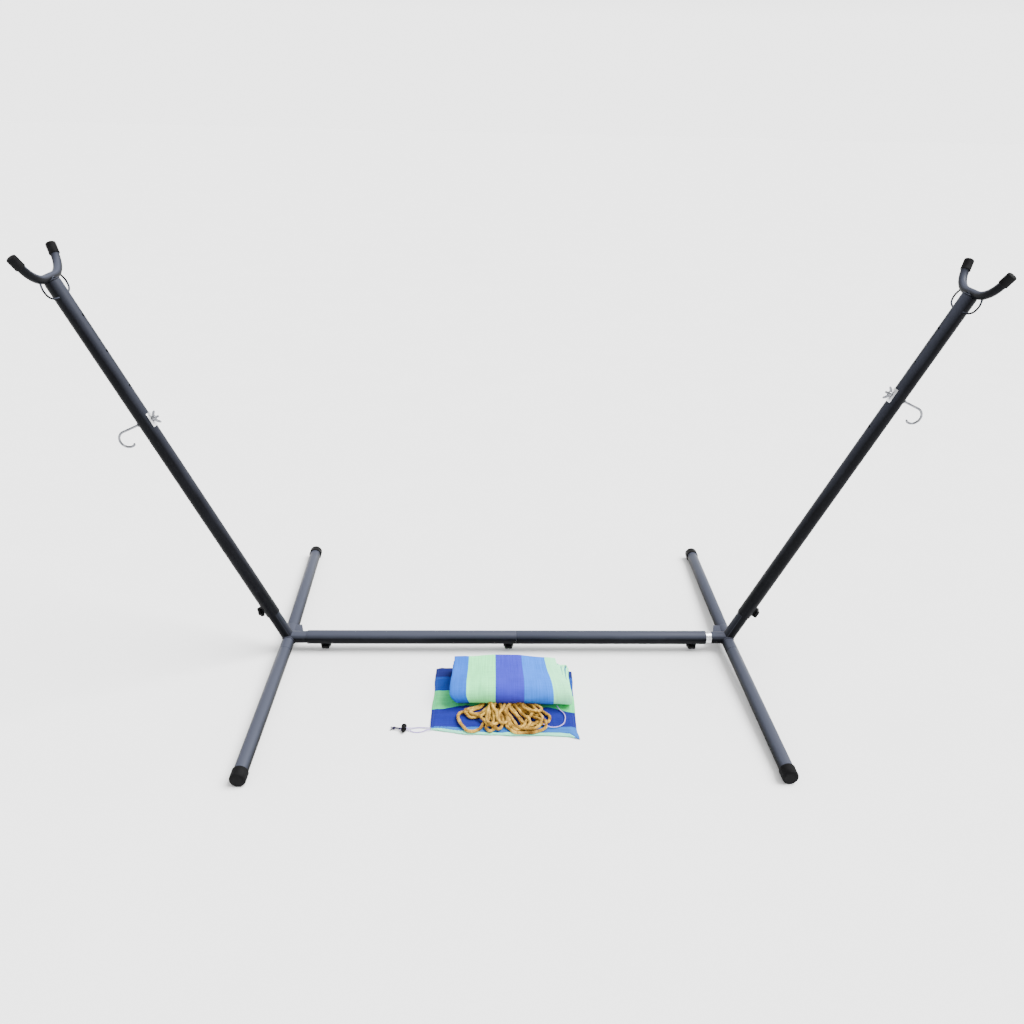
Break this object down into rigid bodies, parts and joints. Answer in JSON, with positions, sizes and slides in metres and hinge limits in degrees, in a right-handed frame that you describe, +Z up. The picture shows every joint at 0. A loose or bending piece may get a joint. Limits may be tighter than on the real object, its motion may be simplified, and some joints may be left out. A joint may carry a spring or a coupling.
{
  "type": "hammock on stand",
  "caption": "Knock-down tubular steel hammock stand with forked arms and hooks, and a striped cotton hammock folded with its ropes on its carry bag.",
  "frame": {"origin": "floor level under the middle of the stand: the centre of the bottom of the bounding box without the cord", "axes": "+Z up, X along the beam from the left arm to the right arm, the pack of cloth lies on the -Y side"},
  "size_m": [2.4686, 1.1914, 1.2071],
  "materials": {
    "powder_coat": "charcoal powder coat, satin",
    "black_rubber": "moulded, matt",
    "knob_plastic": "moulded, fine grain",
    "lock_plastic": "moulded, satin",
    "zinc": "bright zinc plate",
    "chrome": "bright nickel-chrome plate",
    "striped_cotton": "woven stripes in blues and pale green",
    "cotton_rope": "twisted rope, tan",
    "cotton_cord": "braided cord, pale"
  },
  "bodies": {
    "stand_frame": {"corner_bracket_left": "powder_coat", "beam_tube_left": "powder_coat", "arm_tube_left": "powder_coat", "yoke_left": "powder_coat", "weld_nut_arm_left": "zinc", "weld_nut_beam_left": "zinc", "foot_tube_front_left": "powder_coat", "foot_cap_front_left": "black_rubber", "yoke_cap_front_left": "black_rubber", "yoke_eye_front_left": "powder_coat", "foot_tube_rear_left": "powder_coat", "foot_cap_rear_left": "black_rubber", "yoke_cap_rear_left": "black_rubber", "yoke_eye_rear_left": "powder_coat", "corner_bracket_right": "powder_coat", "beam_tube_right": "powder_coat", "arm_tube_right": "powder_coat", "yoke_right": "powder_coat", "weld_nut_arm_right": "zinc", "weld_nut_beam_right": "zinc", "foot_tube_front_right": "powder_coat", "foot_cap_front_right": "black_rubber", "yoke_cap_front_right": "black_rubber", "yoke_eye_front_right": "powder_coat", "foot_tube_rear_right": "powder_coat", "foot_cap_rear_right": "black_rubber", "yoke_cap_rear_right": "black_rubber", "yoke_eye_rear_right": "powder_coat", "weld_nut_beam_centre": "zinc", "beam_joint_sleeve": "zinc", "saddle_washer_left": "zinc", "saddle_washer_right": "zinc"},
    "snap_button_front_left": {"snap_button_front_left": "zinc"},
    "snap_button_rear_left": {"snap_button_rear_left": "zinc"},
    "hook_left": {"hook_bolt_left": "chrome"},
    "wing_nut_left": {"wing_nut_left": "chrome"},
    "snap_button_front_right": {"snap_button_front_right": "zinc"},
    "snap_button_rear_right": {"snap_button_rear_right": "zinc"},
    "hook_right": {"hook_bolt_right": "chrome"},
    "wing_nut_right": {"wing_nut_right": "chrome"},
    "knob_arm_left": {"knob_arm_left": "knob_plastic", "knob_stud_arm_left": "zinc"},
    "knob_beam_left": {"knob_beam_left": "knob_plastic", "knob_stud_beam_left": "zinc"},
    "knob_beam_centre": {"knob_beam_centre": "knob_plastic", "knob_stud_beam_centre": "zinc"},
    "knob_beam_right": {"knob_beam_right": "knob_plastic", "knob_stud_beam_right": "zinc"},
    "knob_arm_right": {"knob_arm_right": "knob_plastic", "knob_stud_arm_right": "zinc"},
    "carry_bag": {"carry_bag": "striped_cotton", "drawstring_front": "cotton_cord", "drawstring_rear": "cotton_cord", "drawstring_knot": "cotton_cord", "cord_lock_body": "lock_plastic", "cord_lock_spring": "zinc"},
    "hammock_pack": {"folded_hammock": "striped_cotton", "rope_heap": "cotton_rope"},
    "cord_lock_button": {"cord_lock_button": "lock_plastic"}
  },
  "joints": [
    {"name": "knob_arm_left_turn", "type": "hinge", "parent": "stand_frame", "child": "knob_arm_left", "pos_m": [-0.73302, 0, 0.15013], "axis": [-0.9063, 0, -0.4226], "range_deg": [0, 1800]},
    {"name": "knob_beam_left_turn", "type": "hinge", "parent": "stand_frame", "child": "knob_beam_left", "pos_m": [-0.573, 0, 0.045], "axis": [0, 0, -1], "range_deg": [0, 1800]},
    {"name": "knob_beam_centre_turn", "type": "hinge", "parent": "stand_frame", "child": "knob_beam_centre", "pos_m": [-0.005, 0, 0.045], "axis": [0, 0, -1], "range_deg": [0, 1800]},
    {"name": "knob_beam_right_turn", "type": "hinge", "parent": "stand_frame", "child": "knob_beam_right", "pos_m": [0.573, 0, 0.045], "axis": [0, 0, -1], "range_deg": [0, 1800]},
    {"name": "knob_arm_right_turn", "type": "hinge", "parent": "stand_frame", "child": "knob_arm_right", "pos_m": [0.73302, 0, 0.15013], "axis": [0.9063, 0, -0.4226], "range_deg": [0, 1800]},
    {"name": "hook_left_swivel", "type": "hinge", "parent": "stand_frame", "child": "hook_left", "pos_m": [-1.01153, 0, 0.74739], "axis": [-0.9063, 0, -0.4226], "continuous": true},
    {"name": "wing_nut_left_turn", "type": "hinge", "parent": "hook_left", "child": "wing_nut_left", "pos_m": [-1.01153, 0, 0.74739], "axis": [-0.9063, 0, -0.4226], "continuous": true},
    {"name": "hook_right_swivel", "type": "hinge", "parent": "stand_frame", "child": "hook_right", "pos_m": [1.05548, 0, 0.84164], "axis": [0.9063, 0, -0.4226], "continuous": true},
    {"name": "wing_nut_right_turn", "type": "hinge", "parent": "hook_right", "child": "wing_nut_right", "pos_m": [1.05548, 0, 0.84164], "axis": [0.9063, 0, -0.4226], "continuous": true},
    {"name": "snap_button_front_left_press", "type": "slide", "parent": "stand_frame", "child": "snap_button_front_left", "axis": [0.9996, -0.0269, -0.0007], "range_m": [0, 0.005], "stiffness_N_per_m": 1200, "springref_m": -0.002},
    {"name": "snap_button_rear_left_press", "type": "slide", "parent": "stand_frame", "child": "snap_button_rear_left", "axis": [0.9996, 0.0269, -0.0007], "range_m": [0, 0.005], "stiffness_N_per_m": 1200, "springref_m": -0.002},
    {"name": "snap_button_front_right_press", "type": "slide", "parent": "stand_frame", "child": "snap_button_front_right", "axis": [-0.9996, -0.0269, -0.0007], "range_m": [0, 0.005], "stiffness_N_per_m": 1200, "springref_m": -0.002},
    {"name": "snap_button_rear_right_press", "type": "slide", "parent": "stand_frame", "child": "snap_button_rear_right", "axis": [-0.9996, 0.0269, -0.0007], "range_m": [0, 0.005], "stiffness_N_per_m": 1200, "springref_m": -0.002},
    {"name": "bag_lift", "type": "slide", "parent": "stand_frame", "child": "carry_bag", "axis": [0, 0, 1], "range_m": [0, 0.3]},
    {"name": "hammock_lift", "type": "slide", "parent": "carry_bag", "child": "hammock_pack", "axis": [0, 0, 1], "range_m": [0, 0.3]},
    {"name": "cord_lock_press", "type": "slide", "parent": "carry_bag", "child": "cord_lock_button", "axis": [0.0262, 0.9997, 0], "range_m": [0, 0.004], "stiffness_N_per_m": 600, "springref_m": -0.003, "deforming": ["cord_lock_spring"]}
  ]
}
